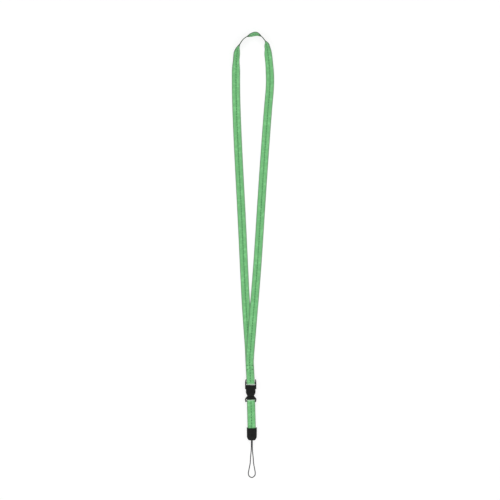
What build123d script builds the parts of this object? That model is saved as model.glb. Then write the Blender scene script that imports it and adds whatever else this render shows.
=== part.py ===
"""A webbing neck lanyard laid flat: neck strap, side-release buckle, short tab, end cap and string loop.

+Z is up, away from the surface that the lanyard lies on. +Y runs from the string loop to the top of
the neck strap. The origin is at the middle of the lanyard's footprint, on that surface. Millimetres.
"""

import os
from math import atan2, cos, degrees, radians, sin, tan

from build123d import *

os.makedirs("parts", exist_ok=True)

# ---- driving dimensions -------------------------------------------------------------------------

WEB_WIDTH = 10.0  # flat webbing
WEB_THICK = 1.0
WRAP_SLACK = 0.2  # between the plug's bar and the webbing folded round it
TURNED_WRAP_SLACK = 0.3  # the same at the socket's bar, where the webbing leaves at an angle

BUCKLE_X = -2.45  # the buckle's middle line
BUCKLE_THICK = 6.0
BUCKLE_MID_Z = BUCKLE_THICK / 2
COVER_THICK = 1.1  # the socket's front and back covers
BUCKLE_CHAMFER = 0.25

SOCKET_BAR_Y = -156.0
SOCKET_BAR_RADIUS = 0.9
SOCKET_HALF_WIDTH = 6.9
SOCKET_GAP_HALF = 5.4  # half the gap between the ears
SOCKET_CAVITY_HALF = 4.7
SOCKET_NECK_Y = SOCKET_BAR_Y - 2.6  # the body's top edge
SHOULDER_Y = SOCKET_BAR_Y - 7.4  # the ledges that the hooks catch on
MOUTH_Y = -171.2

PLUG_BAR_Y = -177.9
PLUG_BAR_RADIUS = 0.8
PLUG_GAP_HALF = 5.5
PLUG_EAR_TIP_Y = -179.0
BASE_CLEARANCE = 0.25  # between the plug's base and the webbing round its bar
ARM_ROOT_Y = -171.6
ARM_THICK = 3.4

CAP_X = -1.05
CAP_THICK = 5.0
CAP_MID_Z = CAP_THICK / 2
CAP_MOUTH_Y = -211.0
CAP_BOTTOM_Y = -225.7
CAP_HALF_WIDTH = 6.15
CAP_EAR = 0.7  # how far the mouth's two corners stand out

STRING_DIAMETER = 1.15
BINDING_RADIUS = 1.1

STITCH_PITCH = 3.2
THREAD_WIDTH = 0.5
THREAD_HEIGHT = 0.25


def report(piece, name):
    """Labels a finished piece and writes its STEP file."""
    piece.part.label = name
    export_step(piece.part, f"parts/{name}.step")
    print(f"{name}: {piece.part.volume:.1f} cubic mm, {len(piece.part.solids())} solid(s)")


def corner_radii(points):
    """The largest radius that each corner's two runs allow, by the 0.45 rule."""
    places = [Vector(*point) for point in points]
    radii = []
    for before, corner, after in zip(places, places[1:], places[2:]):
        first, second = corner - before, after - corner
        half_turn = radians(first.get_angle(second)) / 2
        radii.append(0.45 * min(first.length, second.length) / tan(half_turn))
    return radii


# ---- the neck strap -----------------------------------------------------------------------------
# Both legs lie flat. At the top the webbing stands on its edge and leans outwards a little. The left
# leg runs under the right one, and the two are sewn together above the buckle.

STRAP_X = -2.45  # the fold round the socket's bar
STRAP_TURN = radians(3.0)  # the fold's small turn towards the legs
STACK_START = 26.1  # distances along the fold, from the bar
TAIL_END = 24.1
MIDDLE_END = 13.0
LAYER_GAP = 0.1

fold_along = Vector(-sin(STRAP_TURN), cos(STRAP_TURN), 0)
fold_foot = Vector(STRAP_X, SOCKET_BAR_Y, 0)
stack_foot = fold_foot + fold_along * STACK_START
LEFT_END_Z = WEB_THICK * 1.5
RIGHT_END_Z = WEB_THICK * 2.5 + LAYER_GAP

# The webbing's middle line, from the sewn stack up the left leg, round the top and down the right.
STRAP_ROUTE = [
    (stack_foot.X, stack_foot.Y, LEFT_END_Z),
    (-4.5, -113.0, 1.4),
    (-6.2, -91.0, 0.6),
    (-9.1, -48.0, 0.5),
    (-13.0, 38.0, 0.5),
    (-17.9, 130.0, 0.5),
    (-20.2, 186.0, 0.5),
    (-20.5, 217.0, 0.5),
    (-20.2, 235.0, 3.0),
    (-19.5, 245.0, 3.7),
    (-17.8, 252.0, 4.8),
    (-15.4, 257.0, 5.0),
    (-12.8, 261.2, 5.0),
    (-8.6, 265.1, 5.0),
    (-2.4, 267.5, 4.8),
    (4.2, 269.5, 4.7),
    (9.8, 266.8, 4.9),
    (13.7, 262.9, 5.0),
    (16.5, 257.6, 4.8),
    (18.1, 251.6, 4.2),
    (18.8, 244.6, 2.4),
    (19.9, 235.6, 2.2),
    (21.0, 222.0, 0.7),
    (21.3, 206.0, 0.5),
    (18.2, 174.0, 0.5),
    (12.1, 88.0, 0.5),
    (6.7, 2.0, 0.5),
    (3.7, -38.0, 0.7),
    (0.6, -74.0, 1.6),
    (-1.3, -98.0, 1.7),
    (-2.9, -116.0, 2.3),
    (stack_foot.X, stack_foot.Y, RIGHT_END_Z),
]


TOP_DIP_X = 1.8  # round the top the webbing tips outwards for a short stretch
TOP_DIP_HALF = 8.8


def ease(value, low, high):
    """0 below low, 1 above high, and a smooth step between."""
    share = min(max((value - low) / (high - low), 0), 1)
    return share * share * (3 - 2 * share)


def strap_lean(x, y):
    """Degrees that the webbing stands up from flat: 90 is on its edge, and more leans inwards."""
    if x < 0:
        upright = 40 * ease(y, 220, 238) + 57 * ease(y, 244, 259)
    else:
        upright = 22 * ease(y, 213, 236) + 30 * ease(y, 243, 254) + 45 * ease(y, 254, 262)
    top_dip = 27 * max(0, 1 - ((x - TOP_DIP_X) / TOP_DIP_HALF) ** 2) * ease(y, 262, 267)
    return upright - top_dip


def strap_section(place, along):
    """The plane of the webbing's section: x across its width, y through its thickness."""
    lean = radians(strap_lean(place.X, place.Y))
    outwards = Vector(-along.Y, along.X, 0).normalized()
    across = outwards * cos(lean) + Vector(0, 0, 1) * sin(lean)
    lowest = WEB_WIDTH / 2 * sin(lean) + WEB_THICK / 2 * abs(cos(lean))
    middle = Vector(place.X, place.Y, max(place.Z, lowest))
    level = along - across * along.dot(across)
    return Plane(origin=middle, x_dir=across, z_dir=level.normalized())


with BuildLine() as strap_line:
    FilletPolyline(*STRAP_ROUTE, radius=corner_radii(STRAP_ROUTE))

strap_wire = strap_line.wire()
strap_length = strap_wire.length
print(f"neck strap: {strap_length:.1f} mm between its two ends at the sewn stack")
print("neck strap radii:", [round(radius, 1) for radius in corner_radii(STRAP_ROUTE)])


def strap_stations():
    """Distances along the strap: close together over the top, further apart on the legs."""
    end_run = 18.0
    close_step, wide_step = 3.5, 22.0
    bends_above_y = 205
    stations = []
    distance = end_run
    while distance < strap_length - end_run:
        stations.append(distance)
        place = strap_wire.position_at(distance / strap_length)
        distance += close_step if place.Y > bends_above_y else wide_step
    return stations


fold_plane = Plane(
    origin=fold_foot, x_dir=fold_along, z_dir=Vector(fold_along.Y, -fold_along.X, 0)
)


def circle_point(centre_z, radius, angle):
    """A point on a bar's wrap, in the side view, at an angle from straight up towards the webbing."""
    return (radius * sin(angle), centre_z + radius * cos(angle))


def slope_meets(centre_z, radius, angle, level):
    """How far along a slope that leaves the wrap at this angle comes to a level."""
    start, height = circle_point(centre_z, radius, angle)
    return start + (height - level) / tan(angle)


def make_neck_strap():
    front, back = radians(8.5), radians(4.0)  # the slopes at which the two layers leave the bar
    inner = SOCKET_BAR_RADIUS + TURNED_WRAP_SLACK
    outer = inner + WEB_THICK
    centre = BUCKLE_MID_Z
    top = RIGHT_END_Z + WEB_THICK / 2
    outer_top = circle_point(centre, outer, front)
    outer_low = circle_point(centre, outer, radians(180) - back)
    inner_top = circle_point(centre, inner, front)
    inner_low = circle_point(centre, inner, radians(180) - back)
    front_meets = slope_meets(centre, outer, front, top)
    back_meets = outer_low[0] + outer_low[1] / tan(back)
    back_inner_meets = inner_low[0] + (inner_low[1] - WEB_THICK) / tan(back)
    middle_top = inner_top[1] - (MIDDLE_END - inner_top[0]) * tan(front)

    with BuildPart() as neck_strap:
        with BuildSketch(Plane(stack_foot + Vector(0, 0, LEFT_END_Z), fold_plane.z_dir * -1, fold_along)):
            Rectangle(WEB_WIDTH, WEB_THICK)
        for distance in strap_stations():
            share = distance / strap_length
            with BuildSketch(strap_section(strap_wire.position_at(share), strap_wire.tangent_at(share))):
                Rectangle(WEB_WIDTH, WEB_THICK)
        with BuildSketch(Plane(stack_foot + Vector(0, 0, RIGHT_END_Z), fold_plane.z_dir, fold_along * -1)):
            Rectangle(WEB_WIDTH, WEB_THICK)
        loft(ruled=True)
        print(f"legs: {neck_strap.part.volume:.0f} cubic mm, section times length"
              f" {WEB_WIDTH * WEB_THICK * strap_length:.0f}")
        with BuildSketch(fold_plane) as fold:
            with BuildLine():
                Polyline(outer_low, (back_meets, 0), (TAIL_END, 0), (TAIL_END, WEB_THICK),
                         (STACK_START, WEB_THICK), (STACK_START, top), (front_meets, top), outer_top)
                ThreePointArc(outer_top, (-outer, centre), outer_low)
            make_face()
            with BuildLine():
                Polyline(inner_low, (back_inner_meets, WEB_THICK), (MIDDLE_END, WEB_THICK),
                         (MIDDLE_END, middle_top), inner_top)
                ThreePointArc(inner_top, (-inner, centre), inner_low)
            make_face(mode=Mode.SUBTRACT)
        extrude(amount=WEB_WIDTH / 2, both=True)
    report(neck_strap, "neck_strap")


def make_neck_seam_thread():
    """Two rows of stitches across the sewn stack."""
    rows = [16.4, 21.3]
    stitch_spacing = 3.2
    stitch_length = 2.1
    stitches_across = 3
    top = RIGHT_END_Z + WEB_THICK / 2
    turn = degrees(STRAP_TURN)
    with BuildPart() as neck_seam_thread:
        for row in rows:
            foot = fold_foot + fold_along * row
            with BuildSketch(Plane((foot.X, foot.Y, top)).rotated((0, 0, turn))):
                with GridLocations(stitch_spacing, 1, stitches_across, 1):
                    SlotOverall(stitch_length, THREAD_WIDTH)
            extrude(amount=THREAD_HEIGHT)
    report(neck_seam_thread, "neck_seam_thread")


# ---- the buckle ---------------------------------------------------------------------------------


def mirrored(points):
    """A closed outline from its right half: the same points, then their mirror image."""
    return [*points, *[(-x, y) for x, y in reversed(points) if x != 0]]


def buckle_plane(z):
    return Plane((BUCKLE_X, 0, z))


def make_socket():
    ear_tip_y = SOCKET_BAR_Y + 4.3
    neck_wall = 2.0
    shield = [
        (5.3, SHOULDER_Y + 1), (5.3, SHOULDER_Y - 0.8), (4.9, SHOULDER_Y - 3.6), (3.9, MOUTH_Y),
    ]
    with BuildPart() as socket:
        # the shouldered body, with an ear each side of the webbing
        with BuildSketch(buckle_plane(0)):
            Polygon(*mirrored([
                (SOCKET_GAP_HALF, SOCKET_NECK_Y), (SOCKET_GAP_HALF, ear_tip_y),
                (6.35, ear_tip_y), (6.75, ear_tip_y - 1.8), (SOCKET_HALF_WIDTH, SOCKET_BAR_Y),
                (SOCKET_HALF_WIDTH, SHOULDER_Y + 0.5), (6.2, SHOULDER_Y),
            ]), align=None)
        extrude(amount=BUCKLE_THICK)
        # the two covers reach down past the shoulders to the mouth
        for base in (0, BUCKLE_THICK - COVER_THICK):
            with BuildSketch(buckle_plane(base)):
                Polygon(*mirrored(shield), align=None)
            extrude(amount=COVER_THICK)
        outside = socket.edges().filter_by(Plane.XY).group_by(Axis.Z)
        chamfer(outside[0] + outside[-1], length=BUCKLE_CHAMFER)
        # the hollow for the plug's arms, open at the mouth and at the sides
        hollow_top = SOCKET_NECK_Y - neck_wall
        hollow_length = hollow_top - MOUTH_Y + 1
        with BuildSketch(buckle_plane(COVER_THICK)):
            with Locations((0, hollow_top - hollow_length / 2)):
                Rectangle(2 * SOCKET_CAVITY_HALF, hollow_length)
        extrude(amount=BUCKLE_THICK - 2 * COVER_THICK, mode=Mode.SUBTRACT)
        # two ribs that guide the plug's tongue
        rib_x, rib_thick, rib_length = 1.55, 0.4, 6.0
        rib_middle_y = hollow_top - rib_length / 2
        with BuildSketch(buckle_plane(COVER_THICK)):
            with Locations((-rib_x, rib_middle_y), (rib_x, rib_middle_y)):
                Rectangle(rib_thick, rib_length)
        extrude(amount=BUCKLE_THICK - 2 * COVER_THICK)
        # the bar between the ears
        with BuildSketch(Plane.YZ.offset(BUCKLE_X)):
            with Locations((SOCKET_BAR_Y, BUCKLE_MID_Z)):
                Circle(SOCKET_BAR_RADIUS)
        extrude(amount=SOCKET_GAP_HALF + 0.5, both=True)
    report(socket, "socket")


def make_plug():
    tongue_tip_y = -161.6
    base_low_y = PLUG_BAR_Y + PLUG_BAR_RADIUS + WRAP_SLACK + WEB_THICK + BASE_CLEARANCE
    with BuildPart() as plug:
        # the crescent base, flaring into an ear each side of the tab
        with BuildSketch(buckle_plane(0)):
            Polygon(*mirrored([
                (0, ARM_ROOT_Y), (3.9, ARM_ROOT_Y), (5.2, ARM_ROOT_Y - 1.4), (6.95, -175.2),
                (7.0, -176.2), (6.5, PLUG_EAR_TIP_Y), (PLUG_GAP_HALF, PLUG_EAR_TIP_Y),
                (PLUG_GAP_HALF, base_low_y), (0, base_low_y),
            ]), align=None)
        extrude(amount=BUCKLE_THICK)
        outside = plug.edges().filter_by(Plane.XY).group_by(Axis.Z)
        chamfer(outside[0] + outside[-1], length=BUCKLE_CHAMFER)
        # the tongue that keeps the two halves in line
        tongue_thick = 1.6
        with BuildSketch(buckle_plane(BUCKLE_MID_Z - tongue_thick / 2)):
            Polygon(*mirrored([
                (0, ARM_ROOT_Y - 0.5), (1.15, ARM_ROOT_Y - 0.5), (1.15, tongue_tip_y - 0.9),
                (0.6, tongue_tip_y), (0, tongue_tip_y),
            ]), align=None)
        extrude(amount=tongue_thick)
        # the bar between the ears
        with BuildSketch(Plane.YZ.offset(BUCKLE_X)):
            with Locations((PLUG_BAR_Y, BUCKLE_MID_Z)):
                Circle(PLUG_BAR_RADIUS)
        extrude(amount=PLUG_GAP_HALF + 0.5, both=True)
    report(plug, "plug")


def make_arm(name, side):
    """One spring arm: a thin root, a press pad and a hook that catches behind the shoulder."""
    hook_y = SHOULDER_Y - 0.12
    outline = [
        (2.7, ARM_ROOT_Y), (3.85, ARM_ROOT_Y), (4.9, -170.0), (5.65, -168.3), (5.9, -166.8),
        (5.85, -164.6), (5.6, hook_y), (4.5, hook_y), (4.5, -161.8), (4.1, -160.9), (3.7, -160.9),
        (3.4, -161.8), (3.4, -164.2), (4.3, -166.2), (4.1, -168.2), (3.3, -169.9),
    ]
    with BuildPart() as arm:
        with BuildSketch(buckle_plane(BUCKLE_MID_Z - ARM_THICK / 2)):
            with BuildLine():
                Polyline(*[(side * x, y) for x, y in outline], close=True)
            make_face()
        extrude(amount=ARM_THICK)
    report(arm, name)


# ---- the tab ------------------------------------------------------------------------------------

TAB_X = -2.1  # at the plug's bar
TAB_TURN = radians(1.5)
TAB_STACK_START = 12.0  # distances along the tab, from the bar
TAB_END = 40.9

tab_along = Vector(sin(TAB_TURN), -cos(TAB_TURN), 0)
tab_foot = Vector(TAB_X, PLUG_BAR_Y, 0)


def make_tab_strap():
    inner = PLUG_BAR_RADIUS + WRAP_SLACK
    outer = inner + WEB_THICK
    centre = BUCKLE_MID_Z
    front = atan2(centre + inner - CAP_MID_Z, TAB_STACK_START)
    back = -atan2(CAP_MID_Z - centre + inner, TAB_STACK_START)
    outer_top = circle_point(centre, outer, front)
    inner_top = circle_point(centre, inner, front)
    outer_low = circle_point(centre, outer, radians(180) - back)
    inner_low = circle_point(centre, inner, radians(180) - back)
    side = Plane(origin=tab_foot, x_dir=tab_along, z_dir=Vector(tab_along.Y, -tab_along.X, 0))
    with BuildPart() as tab_strap:
        with BuildSketch(side):
            with BuildLine():
                Polyline(outer_low, (TAB_STACK_START, CAP_MID_Z - WEB_THICK),
                         (TAB_END, CAP_MID_Z - WEB_THICK), (TAB_END, CAP_MID_Z + WEB_THICK),
                         (TAB_STACK_START, CAP_MID_Z + WEB_THICK), outer_top)
                ThreePointArc(outer_top, (-outer, centre), outer_low)
            make_face()
            with BuildLine():
                Polyline(inner_low, (TAB_STACK_START, CAP_MID_Z), inner_top)
                ThreePointArc(inner_top, (-inner, centre), inner_low)
            make_face(mode=Mode.SUBTRACT)
        extrude(amount=WEB_WIDTH / 2, both=True)
    report(tab_strap, "tab_strap")


def make_tab_thread():
    """The stitches down the tab's middle that hold its two layers together."""
    stitch_length = 1.6
    stitch_count = 7
    first_stitch = 0.9
    with BuildPart() as tab_thread:
        for stitch in range(stitch_count):
            foot = tab_foot + tab_along * (TAB_STACK_START + first_stitch + stitch * STITCH_PITCH)
            stitch_plane = Plane((foot.X, foot.Y, CAP_MID_Z + WEB_THICK), x_dir=tab_along, z_dir=(0, 0, 1))
            with BuildSketch(stitch_plane):
                SlotOverall(stitch_length, THREAD_WIDTH)
            extrude(amount=THREAD_HEIGHT)
    report(tab_thread, "tab_thread")


# ---- the end cap --------------------------------------------------------------------------------

CHAMBER_TOP_Y = -219.4
CHAMBER_LOW_Y = -223.4
PEG_PLACES = [(-4.1, -221.2), (4.1, -221.2)]
PEG_RADIUS = 0.7


CAP_OUTLINE = mirrored([
    (0, CAP_MOUTH_Y), (4.9, CAP_MOUTH_Y), (5.1, CAP_MOUTH_Y + CAP_EAR), (CAP_HALF_WIDTH, CAP_MOUTH_Y + CAP_EAR),
    (6.05, CAP_BOTTOM_Y + 4.3), (5.5, CAP_BOTTOM_Y + 2.6),
    (4.4, CAP_BOTTOM_Y + 0.9), (3.1, CAP_BOTTOM_Y), (0, CAP_BOTTOM_Y),
])


def cap_plane(z):
    return Plane((CAP_X, 0, z))


def make_cap_shell(name, in_front):
    """One half of the cap. The back shell has the pegs; the front shell has their holes and teeth."""
    slot_height = WEB_THICK + 0.05
    slot_width = WEB_WIDTH + 0.6
    hole_radius = BINDING_RADIUS + 0.06
    peg_hole_radius = PEG_RADIUS + 0.03
    edge_chamfer = 0.4
    slot_top_y = CAP_MOUTH_Y + 2
    chamber_width = 4.4
    chamber_height = 1.6
    peg_length = 1.4
    tooth_rows = [(0, -214.4), (0, -216.4), (0, -218.0)]
    tooth_width, tooth_thick = 8.0, 0.5
    bite = 0.2  # how deep the teeth press into the webbing
    base = CAP_MID_Z if in_front else 0
    with BuildPart() as shell:
        with BuildSketch(cap_plane(base)):
            Polygon(*CAP_OUTLINE, align=None)
        extrude(amount=CAP_MID_Z)
        levels = shell.edges().filter_by(Plane.XY).group_by(Axis.Z)
        chamfer(levels[-1] if in_front else levels[0], length=edge_chamfer)
        # half of the slot for the webbing
        with BuildSketch(cap_plane(CAP_MID_Z if in_front else CAP_MID_Z - slot_height)):
            with Locations((0, (slot_top_y + CHAMBER_TOP_Y) / 2)):
                Rectangle(slot_width, slot_top_y - CHAMBER_TOP_Y)
        extrude(amount=slot_height, mode=Mode.SUBTRACT)
        # half of the knot's chamber
        with BuildSketch(cap_plane(CAP_MID_Z if in_front else CAP_MID_Z - chamber_height)):
            with Locations((0, (CHAMBER_TOP_Y + CHAMBER_LOW_Y) / 2)):
                Rectangle(chamber_width, CHAMBER_TOP_Y - CHAMBER_LOW_Y)
        extrude(amount=chamber_height, mode=Mode.SUBTRACT)
        # half of the hole that the string leaves by
        with BuildSketch(Plane((CAP_X, CHAMBER_LOW_Y + 0.5, CAP_MID_Z), x_dir=(1, 0, 0), z_dir=(0, -1, 0))):
            Circle(hole_radius)
        extrude(amount=CHAMBER_LOW_Y - CAP_BOTTOM_Y + 1, mode=Mode.SUBTRACT)
        if in_front:
            with BuildSketch(cap_plane(CAP_MID_Z + WEB_THICK - bite)):
                with Locations(*tooth_rows):
                    Rectangle(tooth_width, tooth_thick)
            extrude(amount=bite + 0.1)
            with BuildSketch(cap_plane(CAP_MID_Z)):
                with Locations(*PEG_PLACES):
                    Circle(peg_hole_radius)
            extrude(amount=peg_length + 0.1, mode=Mode.SUBTRACT)
        else:
            with BuildSketch(cap_plane(CAP_MID_Z)):
                with Locations(*PEG_PLACES):
                    Circle(PEG_RADIUS)
            extrude(amount=peg_length)
    report(shell, name)


# ---- the string ---------------------------------------------------------------------------------

BINDING_START_Y = -222.6
BINDING_END = (CAP_X, -234.1, 1.25)
BINDING_ROUTE = [(CAP_X, BINDING_START_Y, CAP_MID_Z), (CAP_X, -228.2, CAP_MID_Z), BINDING_END]
STRAND_OFFSET = 0.585
STRING_REST_Z = 0.585

# One strand's way out and back, from the binding's end round the loop, relative to CAP_X.
STRING_ROUTE = [
    (-STRAND_OFFSET, -234.1, 1.25),
    (-STRAND_OFFSET, -236.7, 0.78),
    (-1.15, -242.0, STRING_REST_Z),
    (-1.7, -248.2, STRING_REST_Z),
    (-1.95, -254.2, STRING_REST_Z),
    (-2.9, -258.6, STRING_REST_Z),
    (-3.6, -262.2, STRING_REST_Z),
    (-4.4, -266.2, STRING_REST_Z),
    (-3.9, -269.2, STRING_REST_Z),
    (-1.4, -271.4, STRING_REST_Z),
    (1.3, -271.4, STRING_REST_Z),
    (3.8, -269.1, STRING_REST_Z),
    (4.3, -266.1, STRING_REST_Z),
    (3.6, -262.0, STRING_REST_Z),
    (2.9, -258.4, STRING_REST_Z),
    (2.05, -254.0, STRING_REST_Z),
    (1.75, -248.4, STRING_REST_Z),
    (1.1, -242.1, STRING_REST_Z),
    (STRAND_OFFSET, -236.7, 0.78),
    (STRAND_OFFSET, -234.1, 1.25),
]


def make_string():
    knot_radius = 1.45
    knot_y = -221.3
    with BuildPart() as string_knot:
        with Locations((CAP_X, knot_y, CAP_MID_Z)):
            Sphere(knot_radius)
        split(bisect_by=Plane((0, BINDING_START_Y, 0), z_dir=(0, 1, 0)), keep=Keep.TOP)
    report(string_knot, "string_knot")

    with BuildPart() as string_binding:
        with BuildLine() as binding_line:
            FilletPolyline(*BINDING_ROUTE, radius=corner_radii(BINDING_ROUTE))
        with BuildSketch(Plane(BINDING_ROUTE[0], x_dir=(1, 0, 0), z_dir=(0, -1, 0))):
            Circle(BINDING_RADIUS)
        sweep(path=binding_line.wire())
    report(string_binding, "string_binding")

    route = [(CAP_X + x, y, z) for x, y, z in STRING_ROUTE]
    radii = corner_radii(route)
    leaving = Vector(*route[1]) - Vector(*route[0])
    with BuildPart() as string_loop:
        with BuildLine() as string_line:
            FilletPolyline(*route, radius=radii)
        with BuildSketch(Plane(route[0], x_dir=(1, 0, 0), z_dir=leaving)):
            Circle(STRING_DIAMETER / 2)
        sweep(path=string_line.wire())
    report(string_loop, "string_loop")
    length = string_line.wire().length
    section = string_loop.part.volume / length
    print("string radii:", [round(radius, 1) for radius in radii])
    print(f"string: {length:.1f} mm long, volume over length {section:.4f} square mm")


make_neck_strap()
make_neck_seam_thread()
make_socket()
make_plug()
make_arm("arm_left", -1)
make_arm("arm_right", 1)
make_tab_strap()
make_tab_thread()
make_cap_shell("cap_back_shell", in_front=False)
make_cap_shell("cap_front_shell", in_front=True)
make_string()
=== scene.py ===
# %% [markdown]
# # A webbing neck lanyard
# A side-release buckle hangs from a green neck strap. Below the buckle a short sewn tab ends in a
# moulded cap, and the cap holds a thin braided loop for a phone or a badge.
# The lesson keeps the hard parts where the CAD model has them and gives every piece its finish:
# webbing with ribs and selvedges, sewn thread, satin black plastic and braided string.

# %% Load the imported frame
from math import cos, pi, radians, sin

import bmesh
import bpy
import numpy as np
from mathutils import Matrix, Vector


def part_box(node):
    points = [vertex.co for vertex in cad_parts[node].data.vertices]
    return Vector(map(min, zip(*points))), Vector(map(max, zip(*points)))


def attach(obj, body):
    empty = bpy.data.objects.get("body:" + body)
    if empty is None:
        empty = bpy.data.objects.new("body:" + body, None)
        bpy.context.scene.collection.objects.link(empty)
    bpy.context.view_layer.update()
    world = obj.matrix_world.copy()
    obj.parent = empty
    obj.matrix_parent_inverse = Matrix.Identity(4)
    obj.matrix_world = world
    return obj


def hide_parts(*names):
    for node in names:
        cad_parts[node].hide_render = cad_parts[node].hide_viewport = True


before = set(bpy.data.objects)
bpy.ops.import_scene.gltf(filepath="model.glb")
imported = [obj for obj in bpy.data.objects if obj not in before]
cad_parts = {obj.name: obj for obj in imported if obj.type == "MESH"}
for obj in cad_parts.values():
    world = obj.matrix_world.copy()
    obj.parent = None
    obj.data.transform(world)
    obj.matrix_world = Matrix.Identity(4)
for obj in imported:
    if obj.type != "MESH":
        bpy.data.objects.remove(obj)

MM = 0.001  # a millimetre, in the scene's metres
scene = bpy.context.scene
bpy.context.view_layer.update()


def add_object(name, data):
    """A new object that shows the data, in the scene."""
    made = bpy.data.objects.new(name, data)
    scene.collection.objects.link(made)
    return made


# %% [markdown]
# ## The camera
# The lanyard lies flat and is seen from straight above, through a long lens, so its far end is no
# smaller than its near end. The lens and the width of the view settle how high the camera stands.

# %% Camera
VIEW_WIDTH = 610 * MM
VIEW_MIDDLE = (-3.3 * MM, 6.0 * MM)
LENS = 100  # millimetres
SENSOR_WIDTH = 36  # millimetres
FARTHEST_SEEN = 10  # metres

camera_height = VIEW_WIDTH * LENS / SENSOR_WIDTH
camera_data = bpy.data.cameras.new("camera")
camera_data.lens = LENS
camera_data.sensor_width = SENSOR_WIDTH
camera_data.clip_end = FARTHEST_SEEN
camera = add_object("camera", camera_data)
camera.location = (*VIEW_MIDDLE, camera_height)
scene.camera = camera
print(f"camera {camera_height:.2f} m above the floor")

# %% [markdown]
# ## The routes of the webbing and the string
# A strap and a string are fixed lengths of something flexible, so each starts as a line. A NURBS
# spline of order 3 takes a few listed points and runs smoothly between them. The neck strap
# is one length: it starts inside the sewn stack above the buckle, runs up the left leg, stands on
# its edge round the top, comes down the right leg, turns round the buckle's bar and ends as a tail
# under the stack. Distances along the fold are measured from the bar.

# %% Where the folds are
STRAP_TURN = radians(3.0)  # the fold's small turn towards the legs
STRAP_X = -2.45 * MM
TAIL_LAYER_Z = 0.5 * MM  # the stack's three layers, from the floor up
LEFT_LAYER_Z = 1.5 * MM
FRONT_LAYER_Z = 2.6 * MM
BAR_Z = 3.0 * MM
BAR_WRAP_RADIUS = 1.7 * MM
EAR_HEIGHT = 4.3 * MM  # the ears stand this far above the bar's middle

socket_low, socket_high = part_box("socket")
SOCKET_BAR_Y = socket_high.y - EAR_HEIGHT

fold_foot = Vector((STRAP_X, SOCKET_BAR_Y, 0))
fold_along = Vector((-sin(STRAP_TURN), cos(STRAP_TURN), 0))
fold_across = Vector((cos(STRAP_TURN), sin(STRAP_TURN), 0))


def on_fold(distance, height):
    """A point a distance up the fold from the bar, at a height above the floor."""
    return tuple(fold_foot + fold_along * distance + Vector((0, 0, height)))


print("bar at", [round(value / MM, 2) for value in on_fold(0, BAR_Z)])

# %% The neck strap's route
STRAP_ROUTE = [
    on_fold(0.0130, LEFT_LAYER_Z),
    on_fold(0.0200, LEFT_LAYER_Z),
    on_fold(0.0261, LEFT_LAYER_Z),
    (-0.0045, -0.1130, 0.0014),
    (-0.0062, -0.0910, 0.0006),
    (-0.0091, -0.0480, 0.0005),
    (-0.0130, 0.0380, 0.0005),
    (-0.0179, 0.1300, 0.0005),
    (-0.0202, 0.1860, 0.0005),
    (-0.0205, 0.2170, 0.0005),
    (-0.0202, 0.2350, 0.0030),
    (-0.0195, 0.2450, 0.0037),
    (-0.0178, 0.2520, 0.0048),
    (-0.0154, 0.2570, 0.0050),
    (-0.0128, 0.2612, 0.0050),
    (-0.0086, 0.2651, 0.0050),
    (-0.0024, 0.2675, 0.0048),
    (0.0042, 0.2695, 0.0047),
    (0.0098, 0.2668, 0.0049),
    (0.0137, 0.2629, 0.0050),
    (0.0165, 0.2576, 0.0048),
    (0.0181, 0.2516, 0.0042),
    (0.0188, 0.2446, 0.0024),
    (0.0199, 0.2356, 0.0022),
    (0.0210, 0.2220, 0.0007),
    (0.0213, 0.2060, 0.0005),
    (0.0182, 0.1740, 0.0005),
    (0.0121, 0.0880, 0.0005),
    (0.0067, 0.0020, 0.0005),
    (0.0037, -0.0380, 0.0007),
    (0.0006, -0.0740, 0.0016),
    (-0.0013, -0.0980, 0.0017),
    (-0.0029, -0.1160, 0.0023),
    on_fold(0.0261, FRONT_LAYER_Z),
    on_fold(0.0200, FRONT_LAYER_Z),
    on_fold(0.0145, FRONT_LAYER_Z),
    on_fold(0.0070, 0.0037),
    on_fold(0.0007, 0.0047),
    on_fold(-0.0017, 0.0047),
    on_fold(-0.0017, 0.0013),
    on_fold(0.0007, 0.0013),
    on_fold(0.0080, 0.0007),
    on_fold(0.0140, TAIL_LAYER_Z),
    on_fold(0.0200, TAIL_LAYER_Z),
    on_fold(0.0241, TAIL_LAYER_Z),
]


POINTS_PER_SPAN = 24


def smooth_line(name, route):
    """Points down a NURBS spline that has the route's points as its control points."""
    curve = bpy.data.curves.new(name, "CURVE")
    curve.dimensions = "3D"
    curve.resolution_u = POINTS_PER_SPAN
    spline = curve.splines.new("NURBS")
    spline.points.add(len(route) - 1)
    for point, place in zip(spline.points, route):
        point.co = (*place, 1)
    spline.order_u = 3
    spline.use_endpoint_u = True
    holder = bpy.data.objects.new(name, curve)
    mesh = bpy.data.meshes.new_from_object(holder)
    line = np.array([vertex.co for vertex in mesh.vertices])
    bpy.data.meshes.remove(mesh)
    bpy.data.curves.remove(curve)
    return line


def distances(line):
    """How far each point is along its line."""
    return np.concatenate([[0], np.cumsum(np.linalg.norm(np.diff(line, axis=0), axis=1))])


strap_line = smooth_line("strap_route", STRAP_ROUTE)
strap_length = distances(strap_line)[-1]
print(f"neck strap webbing: {strap_length / MM:.0f} mm")

# %% [markdown]
# The string leaves the end of its black binding as two strands that part, widen into a small
# teardrop with a few soft kinks, and meet at the bottom.

# %% The string's route
cap_low, cap_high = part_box("cap_front_shell")
CAP_X = (cap_low.x + cap_high.x) / 2

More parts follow.
